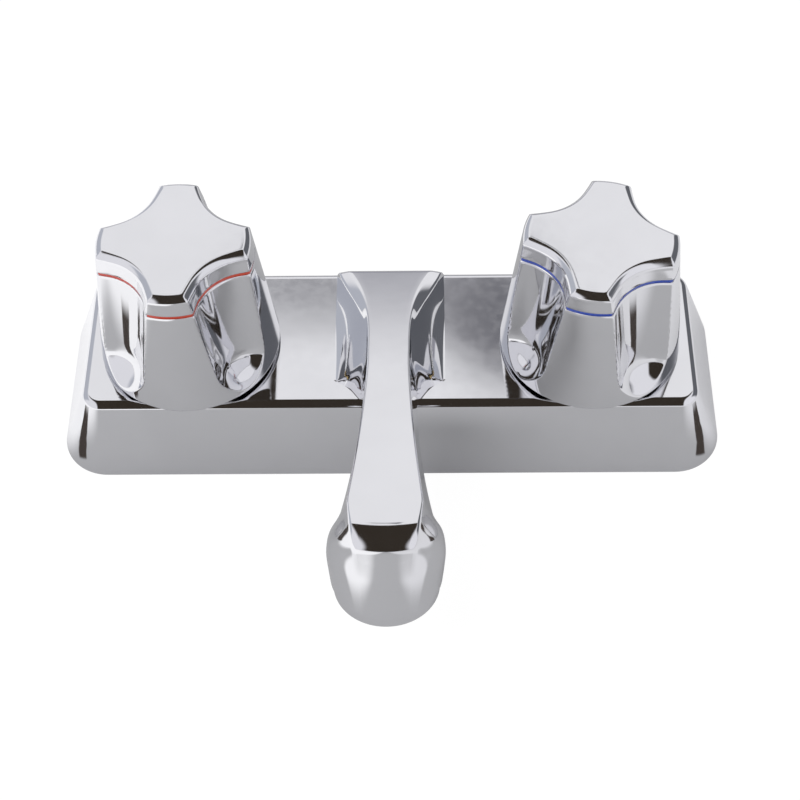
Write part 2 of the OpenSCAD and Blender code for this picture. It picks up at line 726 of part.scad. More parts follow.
body_shell();
base_gasket();
waterway();
spout_tube();
aerator_housing();
aerator_insert();
aerator_washer();
at_side(-1) supply_shank();  // hot_supply_shank
at_side(1) supply_shank();  // cold_supply_shank
at_side(-1) mounting_nut();  // hot_mounting_nut
at_side(1) mounting_nut();  // cold_mounting_nut
at_side(-1) bonnet_nut();  // hot_bonnet_nut
at_side(1) bonnet_nut();  // cold_bonnet_nut
at_side(-1) cartridge();  // hot_cartridge
at_side(1) cartridge();  // cold_cartridge
at_side(-1) seat_washer();  // hot_seat_washer
at_side(1) seat_washer();  // cold_seat_washer
at_side(-1) fixed_disc();  // hot_fixed_disc
at_side(1) fixed_disc();  // cold_fixed_disc
at_side(-1) moving_disc();  // hot_moving_disc
at_side(1) moving_disc();  // cold_moving_disc
at_side(-1) stem();  // hot_stem
at_side(1) stem();  // cold_stem
at_side(-1) stem_seal();  // hot_stem_seal
at_side(1) stem_seal();  // cold_stem_seal
color("gainsboro") at_knob(-1) handle_body();  // hot_handle
color("gainsboro") at_knob(1) handle_body();  // cold_handle
color("red") at_knob(-1) index_ring_form();  // hot_index_ring
color("royalblue") at_knob(1) index_ring_form();  // cold_index_ring
color("silver") at_knob(-1) handle_cap_form();  // hot_handle_cap
color("silver") at_knob(1) handle_cap_form();  // cold_handle_cap
color("gray") at_knob(-1) handle_screw_form();  // hot_handle_screw
color("gray") at_knob(1) handle_screw_form();  // cold_handle_screw
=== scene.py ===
"""Centerset bathroom faucet: fine chrome forms, finishes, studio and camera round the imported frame."""
import json
import math

import bmesh
import bpy
import numpy as np
from mathutils import Matrix, Vector
from mathutils.bvhtree import BVHTree
from mathutils.interpolate import poly_3d_calc


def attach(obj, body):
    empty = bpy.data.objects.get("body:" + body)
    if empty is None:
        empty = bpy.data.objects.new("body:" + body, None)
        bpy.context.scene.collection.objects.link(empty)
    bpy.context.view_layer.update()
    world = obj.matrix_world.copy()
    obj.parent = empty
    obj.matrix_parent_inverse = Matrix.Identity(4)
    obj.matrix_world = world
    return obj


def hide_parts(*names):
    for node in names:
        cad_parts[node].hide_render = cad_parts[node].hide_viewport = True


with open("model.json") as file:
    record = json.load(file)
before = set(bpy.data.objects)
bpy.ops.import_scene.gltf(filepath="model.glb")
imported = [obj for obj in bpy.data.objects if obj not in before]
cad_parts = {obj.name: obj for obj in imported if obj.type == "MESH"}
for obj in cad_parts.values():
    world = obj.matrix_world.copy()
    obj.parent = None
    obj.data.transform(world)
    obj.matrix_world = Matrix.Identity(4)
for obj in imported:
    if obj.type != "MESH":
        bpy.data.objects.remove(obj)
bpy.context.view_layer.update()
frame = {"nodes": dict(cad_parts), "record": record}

MM = 0.001


# Small sums

def mix(a, b, t):
    return a + (b - a) * t


def blended(a, b, t):
    """The point between two others in a plane."""
    return mix(a[0], b[0], t), mix(a[1], b[1], t)


def clamp01(t):
    return min(1.0, max(0.0, t))


def ease(t):
    t = clamp01(t)
    return t * t * (3 - 2 * t)


def soft_min(a, b, k):
    """The lower of two values, with their corner rounded over a difference of k."""
    h = np.maximum(k - np.abs(a - b), 0) / k
    return np.minimum(a, b) - h * h * k / 4


def tan_deg(angle):
    return math.tan(math.radians(angle))


def sin_deg(angle):
    return math.sin(math.radians(angle))


def cos_deg(angle):
    return math.cos(math.radians(angle))


# Sizes of the deck, in millimetres, with angles in degrees

valve_x = 50.8
deck_l = 169
deck_w = 56.5
deck_back = 1
deck_h = 20.5
deck_lean = 7.5
deck_corner = 12
deck_edge = 2.1
wall = 2.5
roof_z = deck_h - wall
lean_rate = deck_lean / deck_h
lean_angle = math.degrees(math.atan(lean_rate))
wall_shift = wall / math.cos(math.atan(lean_rate))
neck_hole_r = 10.7

# Sizes of the spout

spout_reach = 77
outlet_rise = 10.5
outlet_z = deck_h + outlet_rise
outlet_lean = 10
nose_h = 26
spout_rise = 2.6
rear_edge = 1.2
rear_inset = 0.6
under_slope = 18.4
nose_r = 12.6
ring_h = 4.2
cavity_r = 10.6
cavity_top = 12.2

rear_y = deck_back + deck_w / 2 - deck_lean - rear_inset
root_front_y = deck_back - (deck_w / 2 - deck_lean - deck_edge)
spout_slope = math.degrees(math.atan((outlet_rise + nose_h - spout_rise) / (rear_y + spout_reach)))
roof_cover = 0.5
sink = wall - roof_cover
under_drop = deck_edge / 2
under_share = 0.9
under_y = root_front_y - under_share * deck_edge

# The nose is swept round a pivot line just behind the outlet's rim. The arm's underside rises to clear it
pivot_gap = 0.9
gap_run = 30
rim_y = -spout_reach + ring_h * sin_deg(outlet_lean)
rim_z = outlet_z + ring_h * cos_deg(outlet_lean)
pivot_y = rim_y + (nose_r + pivot_gap) * cos_deg(outlet_lean)
pivot_z = rim_z - (nose_r + pivot_gap) * sin_deg(outlet_lean)

# Half widths of the top face and of the flanks, and how steeply each changes along the spout
top_rear = 11
top_waist = 5.1
top_front = 8.5
waist_y = -14
rear_flare = 3.2
front_flare = 1.7
front_lead = 6
root_half = 14
root_turn_y = -9
root_square = 6
flank_half = 6.9
flank_proud = 0.6
flank_nose = nose_r + flank_proud
flank_flare = 2.2

# The root's fold, under the top's edge, and the hollow of the flank below it
fold_share = 0.8
fold_out = 0.3
fold_in = 0.5
fold_flare = 2.5
strip_waist = 2.0
strip_rear = 0.7
flare_waist = 1.9
flare_rear = 0.7

# The arm's rounded lower edges and slightly waved flanks
arm_from_y = -12.5
arm_low_r = 4
arm_round_share = 0.4
arm_wave = 0.35

# The nose's front, its tight turn from the top and the angles over which it becomes round
turn_angle = 75
front_lean = 25
front_bulge = 0.5
nose_turn = 9
nose_swell = 0.8
nose_from = 8.5
nose_over = 49

# Sizes of the knobs

skirt_r = 22.8
crown_r = 18.5
knob_h = 39
cap_t = 5
ring_t = 1.6
cap_edge = 2
flute_axis = 26
flute_top_r = 13.2
flute_cup_r = 9
cup_z = 8
cup_lip = 1.4
cup_floor_r = 18
cup_over = 2
cup_under = 1
cup_top = cup_z + cup_over
cup_foot = cup_lip - cup_under
cup_soft = 0.8
lobe_soft = 2.0
cap_soft = 3.6
cold_turn = -11.25
knob_z = 21.7
crown_z = knob_h - cap_t
body_top = crown_z - ring_t
knob_rate = (skirt_r - crown_r) / knob_h
flute_rate = (flute_top_r - flute_cup_r) / (knob_h - cup_z)

# The index ring shows between the knob and its cap, which both lap a little over it
ring_inset = 0.35
ring_lap = 0.4
ring_low = body_top + ring_lap
ring_high = crown_z - ring_lap

# The knob's inside
recess_r = 16.2
recess_h = 5.5
core_in = 7
core_out = 10.6
core_top = 23.4
socket_top = 14.9
web_top = 17.9
screw_hole_r = 2.25
well_r = 5
spline_count = 32
spline_in = 3.3
spline_out = 4.0

# Sizes of the supply shanks

shank_r = 10.45
shank_l = 50
shank_bore_r = 6.3
shank_top = 5.9
collar_r = 8
collar_z = 2
groove_z = -26
groove_h = 1.5
groove_depth = 0.8
thread_depth = 0.65
thread_pitch = 1.814
thread_fade_low = 1.5
thread_fade = 1.6


# Meshes

def make_object(name, vertices, faces):
    mesh = bpy.data.meshes.new(name)
    mesh.from_pydata([tuple(v) for v in vertices], [], faces)
    mesh.update()
    piece = bpy.data.objects.new(name, mesh)
    bpy.context.scene.collection.objects.link(piece)
    return piece


def grid_faces(rows, columns, closed):
    """Quads of a grid whose columns go round; the rows may go round too."""
    last = rows if closed else rows - 1
    return [
        (
            i * columns + j,
            i * columns + (j + 1) % columns,
            (i + 1) % rows * columns + (j + 1) % columns,
            (i + 1) % rows * columns + j,
        )
        for i in range(last)
        for j in range(columns)
    ]


def ringed(name, rings, fans=False, closed=False):
    """A solid through rings of points in millimetres. Its ends are flat caps, or fans to their middles."""
    columns = len(rings[0])
    points = np.array(rings, float).reshape(-1, 3)
    faces = grid_faces(len(rings), columns, closed)
    ends = () if closed else (0, len(rings) - 1)
    for ring in ends:
        loop = [ring * columns + j for j in range(columns)]
        if fans:
            points = np.vstack([points, points[loop].mean(0)])
            faces += [(loop[j], loop[(j + 1) % columns], len(points) - 1) for j in range(columns)]
        else:
            faces.append(loop)
    piece = make_object(name, points * MM, faces)
    tidy_normals(piece)
    return piece


def tidy_normals(piece):
    work = bmesh.new()
    work.from_mesh(piece.data)
    bmesh.ops.recalc_face_normals(work, faces=work.faces)
    work.to_mesh(piece.data)
    work.free()


def smooth(piece, angle=40):
    piece.data.shade_smooth()
    piece.data.set_sharp_from_angle(angle=math.radians(angle))


def place(piece, matrix):
    piece.data.transform(matrix)
    piece.data.update()


def carve(piece, tool, operation):
    """Joins or cuts the piece with the tool, which is then removed."""
    modifier = piece.modifiers.new("carve", "BOOLEAN")
    modifier.operation = operation
    modifier.solver = "EXACT"
    modifier.object = tool
    apply_modifiers(piece)
    bpy.data.objects.remove(tool)


def apply_modifiers(piece):
    bpy.context.view_layer.update()
    evaluated = piece.evaluated_get(bpy.context.evaluated_depsgraph_get())
    mesh = bpy.data.meshes.new_from_object(evaluated)
    piece.modifiers.clear()
    piece.data = mesh


class Skin:
    """A shaded surface that a cut piece takes its normals back from, where the two are near, in metres."""

    sharp_angle = 65
    near = 2e-5
    alike = 0.5
    inward = 0.03
    least = 0.1

    def __init__(self, source):
        work = bmesh.new()
        work.from_mesh(source.data)
        bmesh.ops.triangulate(work, faces=work.faces)
        mesh = bpy.data.meshes.new("skin")
        work.to_mesh(mesh)
        work.free()
        mesh.set_sharp_from_angle(angle=math.radians(self.sharp_angle))
        self.mesh = mesh
        corners = [v.co for v in mesh.vertices]
        self.tree = BVHTree.FromPolygons(corners, [p.vertices for p in mesh.polygons])
        self.normals = [Vector(n.vector) for n in mesh.corner_normals]

    def normal_at(self, point, toward, normal):
        """The skin's normal at a face's corner, sought a little towards the face's middle."""
        hit = self.tree.find_nearest(point.lerp(toward, self.inward))
        face_normal, index, distance = hit[1:]
        if index is None or distance > self.near or face_normal.dot(normal) < self.alike:
            return None
        face = self.mesh.polygons[index]
        weights = poly_3d_calc([self.mesh.vertices[v].co for v in face.vertices], point)
        total = Vector()
        for weight, loop in zip(weights, face.loop_indices):
            total += self.normals[loop] * max(0.0, weight)
        return total.normalized() if total.length > self.least else None


def restore_normals(piece, skins):
    """Gives each corner the normal of the uncut surface that it came from. Level faces stay flat."""
    level_from = 0.9999
    mesh = piece.data
    mesh.shade_smooth()
    normals = [None] * len(mesh.loops)
    for face in mesh.polygons:
        level = abs(face.normal.z) > level_from
        for loop in face.loop_indices:
            point = mesh.vertices[mesh.loops[loop].vertex_index].co
            found = None
            for skin in () if level else skins:
                found = found or skin.normal_at(point, face.center, face.normal)
            normals[loop] = found or face.normal.copy()
    mesh.normals_split_custom_set(normals)


# Body: a rounded deck and a lofted spout in one casting

def deck_outline(out, z):
    """Points round the deck where its surface lies a given way outside the straight middle part."""
    corner_steps = 20
    middle_x = deck_l / 2 - deck_corner
    middle_y = deck_w / 2 - deck_corner
    points = []
    for quarter, (sx, sy) in enumerate(((1, 1), (-1, 1), (-1, -1), (1, -1))):
        for i in range(corner_steps + 1):
            a = math.radians(90 * (quarter + i / corner_steps))
            points.append((
                sx * middle_x + out * math.cos(a),
                deck_back + sy * middle_y + out * math.sin(a),
                z,
            ))
    return points


def deck_rings():
    """From the hollow's roof down, round the wall's foot, up its outside and over the edge's fillet.

    A guard ring close to each end of the fillet keeps its shading off the flat faces.
    """
    guard = 0.06
    fillet_steps = 14
    tangent = deck_edge * tan_deg((90 - lean_angle) / 2)
    fillet_out = deck_corner - deck_lean - tangent
    fillet_z = deck_h - deck_edge
    straight_h = deck_h - deck_edge * (1 - sin_deg(lean_angle)) - guard
    rings = [
        deck_outline(deck_corner - wall_shift - roof_z * lean_rate, roof_z),
        deck_outline(deck_corner - wall_shift, 0),
        deck_outline(deck_corner, 0),
        deck_outline(deck_corner - straight_h * lean_rate, straight_h),
    ]
    for i in range(fillet_steps + 1):
        a = mix(lean_angle, 90, i / fillet_steps)
        rings.append(deck_outline(fillet_out + deck_edge * cos_deg(a), fillet_z + deck_edge * sin_deg(a)))
    rings.append(deck_outline(fillet_out - guard, deck_h))
    return rings


def top_z(y):
    """Height of the spout's sloping top, with its rear edge rounded."""
    t = clamp01((y - rear_y + rear_edge) / rear_edge)
    rounded = rear_edge * (1 - math.sqrt(1 - t * t))
    return deck_h + spout_rise + (rear_y - y) * tan_deg(spout_slope) - rounded


def under_z(y):
    """Height of the spout's underside, which is sunk in the deck as far forward as under_y."""
    if y > under_y:
        return deck_h - sink
    return deck_h - under_drop + (under_y - y) * tan_deg(under_slope)


def rearward(y):
    return clamp01((y - waist_y) / (rear_y - waist_y))


def top_half(y):
    """Half width of the top face, narrowest at the waist."""
    if y > waist_y:
        return mix(top_waist, top_rear, rearward(y) ** rear_flare)
    forward = clamp01((waist_y - y) / (waist_y - pivot_y + front_lead))
    return mix(top_waist, top_front, forward ** front_flare)


def foot_half(y):
    """Half width of the root's foot, which keeps its width and closes in a curve at its front."""
    t = clamp01((root_turn_y - y) / (root_turn_y - root_front_y))
    return mix(flank_half, root_half, math.sqrt(1 - t ** root_square))


def flank_at(y):
    """Half width of the arm below its top."""
    forward = clamp01((root_front_y - y) / (root_front_y - rim_y))
    return mix(flank_half, flank_nose, forward ** flank_flare)


# A section's side runs over p from 0, the middle of its foot, to 14, the middle of its top
flank_from = 2
flank_to = 12
side_end = 14


def capped_side(p, foot, flank, half_top, high):
    """Point p of a side that has straight stretches at its foot and top."""
    if p <= 1:
        return foot[0] * p, foot[1]
    if p <= flank_from:
        return blended(foot, flank(0), p - 1)
    if p <= flank_to:
        return flank((p - flank_from) / (flank_to - flank_from))
    if p <= flank_to + 1:
        return half_top * (1 - 0.5 * (p - flank_to)), high
    return half_top * 0.5 * (side_end - p), high


def root_side(p, y):
    """The root's flank rises from the deck to a fold, and a narrow strip goes on to the top's edge."""
    t = rearward(y)
    half, high = top_half(y), top_z(y)
    fold = (
        mix(half + fold_out, root_half - fold_in, t ** fold_flare),
        high - mix(strip_waist, strip_rear, t),
    )
    flare = mix(flare_waist, flare_rear, t * t)

    def flank(u):
        if u > fold_share:
            return blended(fold, (half, high), (u - fold_share) / (1 - fold_share))
        v = u / fold_share
        return mix(foot_half(y), fold[0], v), mix(deck_h, fold[1], v ** flare)
    return capped_side(p, (foot_half(y), deck_h - sink), flank, half, high)


def arm_side(p, low, high, half_low, half_top):
    """The arm's side has a rounded lower edge and a slightly waved flank that leans in to the top."""
    foot_part = 0.6

    def flank(u):
        turn = 90 * min(1, u / arm_round_share)
        up = max(0, (u - arm_round_share) / (1 - arm_round_share))
        return (
            mix(
                half_low - arm_low_r * (1 - sin_deg(turn)),
                half_top,
                ease(up) * arm_wave + up * (1 - arm_wave),
            ),
            mix(low + arm_low_r * (1 - cos_deg(turn)), high, up),
        )
    return capped_side(p, ((half_low - arm_low_r) * foot_part, low), flank, half_top, high)


def round_side(p, low, high, half):
    a = 180 * p / side_end
    return half * sin_deg(a), (low + high) / 2 - (high - low) / 2 * cos_deg(a)


def section(side):
    """A whole section from one side's function, with the edge of its top face softened."""
    flank_steps = 30
    edge_points = 6
    top_steps = 6
    edge_soft = 0.5
    edge_lead = 0.35
    edge_most = 0.8
    least_run = 0.01
    edge_p = flank_to - edge_lead
    points = [side(0), side(1)]
    points += [side(mix(flank_from, edge_p, i / flank_steps)) for i in range(flank_steps)]
    start = side(edge_p)
    corner = side(flank_to)
    beyond = side(flank_to + 1)
    top_run = max(least_run, abs(beyond[0] - corner[0]) + abs(beyond[1] - corner[1]))
    top_p = flank_to + min(edge_most, edge_soft / top_run)
    end = side(top_p)
    for i in range(edge_points + 1):
        t = i / edge_points
        points.append(blended(blended(start, corner, t), blended(corner, end, t), t))
    points += [side(mix(top_p, side_end, (i + 1) / top_steps)) for i in range(top_steps)]
    return points + [(-x, z) for x, z in points[-2:0:-1]]


def arm_section(y):
    """An upright section, which changes from the root's form to the arm's."""
    low = under_z(y) + pivot_gap * ease((under_y - y) / gap_run)
    share = ease((arm_from_y - y) / (arm_from_y - under_y))
    return section(lambda p: blended(
        root_side(p, y),
        arm_side(p, low, top_z(y), flank_at(y), top_half(y)),
        share,
    ))


top_at_pivot = top_z(pivot_y) - pivot_z
rim_reach = 2 * nose_r + pivot_gap

# Lower down, the line of the top is too far out to count
line_from = front_lean + 15


def line_reach(a):
    return top_at_pivot * cos_deg(spout_slope) / cos_deg(90 + spout_slope - a)


def reach(a):
    """From the pivot to the nose's outline: the top's line, a tight turn and a nearly flat front."""
    t = clamp01((turn_angle - a) / (turn_angle - outlet_lean))
    flat = rim_reach * cos_deg(outlet_lean - front_lean) / cos_deg(a - front_lean)
    front = flat + front_bulge * sin_deg(180 * t)
    return float(soft_min(line_reach(a), front, nose_turn)) if a > line_from else front


def nose_section(a):
    """A section at an angle round the pivot. It changes from the arm's form to the outlet's circle."""
    down = (90 - a) / (90 - outlet_lean)
    y = pivot_y - reach(a) * 0.5 * cos_deg(a)
    low = mix(under_z(pivot_y) + pivot_gap - pivot_z, pivot_gap, down)
    half_top = top_half(pivot_y - reach(a) * cos_deg(a))
    half = nose_r + nose_swell * sin_deg(180 * (a - outlet_lean) / (90 - outlet_lean))
    share = ease((90 - a - nose_from) / nose_over)
    return section(lambda p: blended(
        arm_side(p, low, reach(a), flank_at(y), half_top),
        round_side(p, low, reach(a), half),
        share,
    ))


def spout_rings():
    rear_steps = 6
    root_steps = 90
    arm_steps = 50
    turn_steps = 40
    nose_steps = 28
    turn_end = 50
    ys = [rear_y - rear_edge * (1 - cos_deg(90 * i / rear_steps)) for i in range(rear_steps)]
    ys += [mix(rear_y - rear_edge, under_y, i / root_steps) for i in range(root_steps)]
    ys += [mix(under_y, pivot_y, i / arm_steps) for i in range(arm_steps + 1)]
    rings = [[(x, y, z) for x, z in arm_section(y)] for y in ys]
    angles = [mix(90, turn_end, (i + 1) / turn_steps) for i in range(turn_steps)]
    angles += [mix(turn_end, outlet_lean, (i + 1) / nose_steps) for i in range(nose_steps)]
    for a in angles:
        along, up = cos_deg(a), sin_deg(a)
        rings.append([(x, pivot_y - q * along, pivot_z + q * up) for x, q in nose_section(a)])
    return rings


outlet_matrix = (
    Matrix.Translation(Vector((0, -spout_reach, outlet_z)) * MM)
    @ Matrix.Rotation(math.radians(-outlet_lean), 4, "X")
)


def circle_points(radius, z, count, shape=None):
    """Points round the Z axis, whose radius the shape may change by angle and height."""
    points = []
    for j in range(count):
        a = 2 * math.pi * j / count
        r = radius + (shape(a, z) if shape else 0)
        points.append((r * math.cos(a), r * math.sin(a), z))
    return points


def turned(name, profile, count=96, closed=False):
    """A turned solid through (radius, height) pairs."""
    return ringed(name, [circle_points(r, z, count) for r, z in profile], closed=closed)


def make_body():
    """The casting: deck and spout joined, then cut for the necks and the aerator's seat."""
    overshoot = 1
    body = ringed("chrome_body", deck_rings())
    spout = ringed("spout_form", spout_rings())
    skins = [Skin(spout), Skin(body)]
    carve(body, spout, "UNION")
    for side in (-1, 1):
        hole = turned("hole", [(neck_hole_r, roof_z - overshoot), (neck_hole_r, deck_h + overshoot)])
        place(hole, Matrix.Translation((side * valve_x * MM, 0, 0)))
        carve(body, hole, "DIFFERENCE")
    cavity = turned("cavity", [(cavity_r, -overshoot), (cavity_r, cavity_top)])
    place(cavity, outlet_matrix)
    carve(body, cavity, "DIFFERENCE")
    restore_normals(body, skins)
    return body


# Knobs: rings of points whose radius follows the lobes and flutes, with softened edges

knob_columns = 512
knob_angles = np.arange(knob_columns) * 2 * math.pi / knob_columns


def round_ring(radius, z):
    """A ring of the knob at height z, from one radius or from one for each column."""
    x, y = radius * np.cos(knob_angles), radius * np.sin(knob_angles)
    return np.stack([x, y, np.full(knob_columns, z)], axis=1)


def round_rings(*pairs):
    return [round_ring(r, z) for r, z in pairs]


def lobe_r(z):
    return skirt_r - knob_rate * z


def cup_curve():
    """Middle of the circle that the cup's floor follows, in the flute's own radius and height."""
    tip = Vector((flute_axis - lobe_r(cup_lip), cup_lip))
    top = Vector((flute_cup_r, cup_z))
    half = (top - tip).length / 2
    along = (top - tip) / (2 * half)
    depth = math.sqrt(cup_floor_r ** 2 - half ** 2)
    return (tip + top) / 2 + depth * Vector((-along.y, along.x))


cup_middle = cup_curve()


def flute_r(z):
    """Radius of the flute's cutter at height z: nothing at the foot, then the cup, then a cone."""
    wall_r = flute_cup_r + flute_rate * (z - cup_z)
    if z > cup_top:
        return wall_r
    if z < cup_foot:
        return 0
    rise = cup_floor_r ** 2 - (z - cup_middle.y) ** 2
    floor_r = cup_middle.x + math.sqrt(max(0, rise))
    return float(soft_min(wall_r, floor_r, cup_soft))


def knob_ring(z, inset=0.0, soft=lobe_soft, at_z=None):
    """One ring of the knob's outside at height z, or its outline at z placed at another height."""
    step = math.pi / 2
    off = (knob_angles % step) - step / 2
    radius = np.full(knob_columns, lobe_r(z) - inset)
    cutter = flute_r(z) + inset
    inside = cutter ** 2 - (flute_axis * np.sin(off)) ** 2
    hit = inside > 0
    cut = flute_axis * np.cos(off) - np.sqrt(np.where(hit, inside, 0))
    radius = np.where(hit, soft_min(radius, cut, soft), radius)
    return round_ring(radius, z if at_z is None else at_z)


def spline_ring(z):
    tooth = np.abs((knob_angles * spline_count / (2 * math.pi)) % 1 * 2 - 1)
    return round_ring(spline_in + (spline_out - spline_in) * tooth, z)


def make_handle(name):
    """The knob's outside, then its well and web for the screw, the splined socket and the hollow below."""
    edge = 0.6
    rim = 0.3
    rim_insets = (0.1, 0.4)
    cup_steps = 44
    flute_steps = 40
    rings = [knob_ring(edge * (1 - sin_deg(a)), inset=edge * (1 - cos_deg(a))) for a in (90, 60, 30)]
    rings += [knob_ring(mix(edge, cup_top, i / cup_steps)) for i in range(cup_steps + 1)]
    for i in range(1, flute_steps + 1):
        rings.append(knob_ring(mix(cup_top, ring_low - rim, i / flute_steps)))
    rings += [knob_ring(ring_low, inset=inset) for inset in rim_insets]
    rings += round_rings(
        (well_r, ring_low), (well_r, web_top), (screw_hole_r, web_top), (screw_hole_r, socket_top),
    )
    rings += [spline_ring(socket_top), spline_ring(recess_h)]
    rings += round_rings(
        (core_in, recess_h), (core_in, core_top), (core_out, core_top), (core_out, recess_h),
        (recess_r, recess_h), (recess_r, 0.0),
    )
    piece = ringed(name, rings, closed=True)
    smooth(piece)
    return piece


def make_index_ring(name):
    steps = 6
    bore_r = well_r + 0.4
    rings = [knob_ring(mix(ring_low, ring_high, i / steps), inset=ring_inset) for i in range(steps + 1)]
    rings += round_rings((bore_r, ring_high), (bore_r, ring_low))
    piece = ringed(name, rings, closed=True)
    smooth(piece)
    return piece


def make_cap(name):
    """The cap has a plug in the knob's well, a softened lower edge and a rounded upper one."""
    edge = 0.25
    side_steps = 6
    round_steps = 14
    plug_r = well_r - 0.1
    plug_h = 5
    rim_h = knob_h - cap_edge
    rings = round_rings((plug_r, crown_z - plug_h), (plug_r, ring_high))
    for a in (0, 30, 60, 90):
        rings.append(knob_ring(ring_high + edge * (1 - cos_deg(a)), inset=edge * (1 - sin_deg(a))))
    for i in range(1, side_steps + 1):
        up = i / side_steps
        rings.append(knob_ring(mix(ring_high + edge, rim_h, up), soft=mix(lobe_soft, cap_soft, up)))
    for i in range(1, round_steps + 1):
        a = 90 * i / round_steps
        inset = cap_edge * (1 - cos_deg(a))
        rings.append(knob_ring(rim_h, inset=inset, soft=cap_soft, at_z=rim_h + cap_edge * sin_deg(a)))
    top = rings[-1]
    for share in (0.97, 0.9, 0.7, 0.4, 0.1):
        rings.append(top * (share, share, 1))
    piece = ringed(name, rings, fans=True)
    smooth(piece)
    return piece


def knob_matrix(side):
    return (
        Matrix.Translation(Vector((side * valve_x, 0, knob_z)) * MM)
        @ Matrix.Rotation(math.radians(cold_turn if side > 0 else 0), 4, "Z")
    )


# Supply shanks with real threads, and the ring round the aerator

def thread(a, z):
    """How far the thread's flank lies inside the crest at that angle and height."""
    flank_rate = 1.2
    crest = 0.1
    turn = (z / thread_pitch - a / (2 * math.pi)) % 1
    valley = abs(turn * 2 - 1)
    fade = clamp01((z + shank_l) / thread_fade_low) * clamp01(thread_fade - z)
    fade *= 1 - clamp01(1 - abs(z - groove_z + groove_h / 2) / thread_fade)
    return -thread_depth * clamp01(flank_rate * valley - crest) * fade


def make_shank(name):
    """A hollow threaded shank with a groove, and a plain collar on top."""
    columns = 96
    pitch_steps = 6
    foot_edge = 1
    count = round((shank_l + collar_z) / thread_pitch * pitch_steps)
    heights = [mix(-shank_l + foot_edge, collar_z, i / count) for i in range(count + 1)]
    rings = [circle_points(r, -shank_l, columns) for r in (shank_bore_r, shank_r - foot_edge)]
    for z in heights:
        if groove_z - groove_h < z < groove_z:
            rings.append(circle_points(shank_r - groove_depth, z, columns))
        else:
            rings.append(circle_points(shank_r, z, columns, thread))
    for r, z in ((collar_r, collar_z), (collar_r, shank_top), (shank_bore_r, shank_top)):
        rings.append(circle_points(r, z, columns))
    piece = ringed(name, rings, closed=True)
    smooth(piece, 50)
    return piece


def make_aerator_ring(name):
    aerator_r = 12
    edge = 0.8
    soft = 0.3
    soft_in = 0.08
    neck_r = 10.4
    neck_h = 6
    bore_r = 8.7
    lip_r = 7.6
    ledge_h = 1.2
    seat_gap = 0.1
    top = ring_h - seat_gap
    neck_top = ring_h + neck_h
    profile = [(lip_r, 0.0)]
    for a in (0, 15, 30, 45, 60, 75, 90):
        profile.append((aerator_r - edge * (1 - sin_deg(a)), edge * (1 - cos_deg(a))))
    profile += [(aerator_r, top - soft), (aerator_r - soft_in, top - soft_in), (aerator_r - soft, top)]
    profile += [(neck_r, top), (neck_r, neck_top), (bore_r, neck_top)]
    profile += [(bore_r, ledge_h), (lip_r, ledge_h)]
    piece = turned(name, profile, 160, closed=True)
    smooth(piece)
    place(piece, outlet_matrix)
    return piece


# Shader sums

class Wire:
    """One output of a shader node. Sums on wires add Math nodes to their tree."""

    def __init__(self, tree, output=None):
        self.tree = tree
        self.output = output

    def add(self, kind, settings=(), inputs=(), output=0):
        """Adds a node of that kind, with its settings first and then its inputs, as values or wires."""
        node = self.tree.nodes.new("ShaderNode" + kind)
        for name, value in dict(settings).items():
            setattr(node, name, value)
        for name, value in dict(inputs).items():
            if isinstance(value, Wire):
                self.tree.links.new(value.output, node.inputs[name])
            else:
                node.inputs[name].default_value = value
        return Wire(self.tree, node.outputs[output])

    def also(self, output):
        """Another output of this wire's node."""
        return Wire(self.tree, self.output.node.outputs[output])

    def math(self, operation, *values):
        return self.add("Math", {"operation": operation}, dict(enumerate(values)))

    def __add__(self, other):
        return self.math("ADD", self, other)

    __radd__ = __add__

    def __sub__(self, other):
        return self.math("SUBTRACT", self, other)

    def __rsub__(self, other):
        return self.math("SUBTRACT", other, self)

    def __mul__(self, other):
        return self.math("MULTIPLY", self, other)

    __rmul__ = __mul__

    def step(self, low, high, to_low=0.0, to_high=1.0):
        """A smooth step of this value between low and high."""
        return self.add(
            "MapRange",
            {"interpolation_type": "SMOOTHSTEP"},
            {"Value": self, "From Min": low, "From Max": high, "To Min": to_low, "To Max": to_high},
        )

    def between(self, rise, fall):
        """1 between two smooth steps of this value, each a pair of where it starts and ends."""
        return self.step(*rise) * (1 - self.step(*fall))

    def colour(self, low, high):
        """The colour between two others, each a triple or a wire, at this value."""
        low, high = (c if isinstance(c, Wire) else (*c, 1) for c in (low, high))
        return self.add("Mix", {"data_type": "RGBA"}, {0: self, 6: low, 7: high}, output=2)


def new_material(name):
    material = bpy.data.materials.new(name)
    material.use_nodes = True
    material.node_tree.nodes.clear()
    return material, Wire(material.node_tree)


def surface(shader, output="OutputMaterial"):
    out = shader.tree.nodes.new("ShaderNode" + output)
    shader.tree.links.new(shader.output, out.inputs["Surface"])


# Finishes, each with a wide and a fine grain, whose scales are per metre

# The range of a grain's values over which it changes tone
tone_range = (0.3, 0.7)


def grain(wire, scale, detail, stretch=(1, 1, 1)):
    spot = wire.add("TexCoord", output="Object")
    scaled = wire.add("Mapping", {}, {"Vector": spot, "Scale": stretch})
    return wire.add("TexNoise", {}, {"Vector": scaled, "Scale": scale, "Detail": detail})


def bumped(wire, height, strength, distance):
    return wire.add("Bump", {}, {"Height": height, "Strength": strength, "Distance": distance})


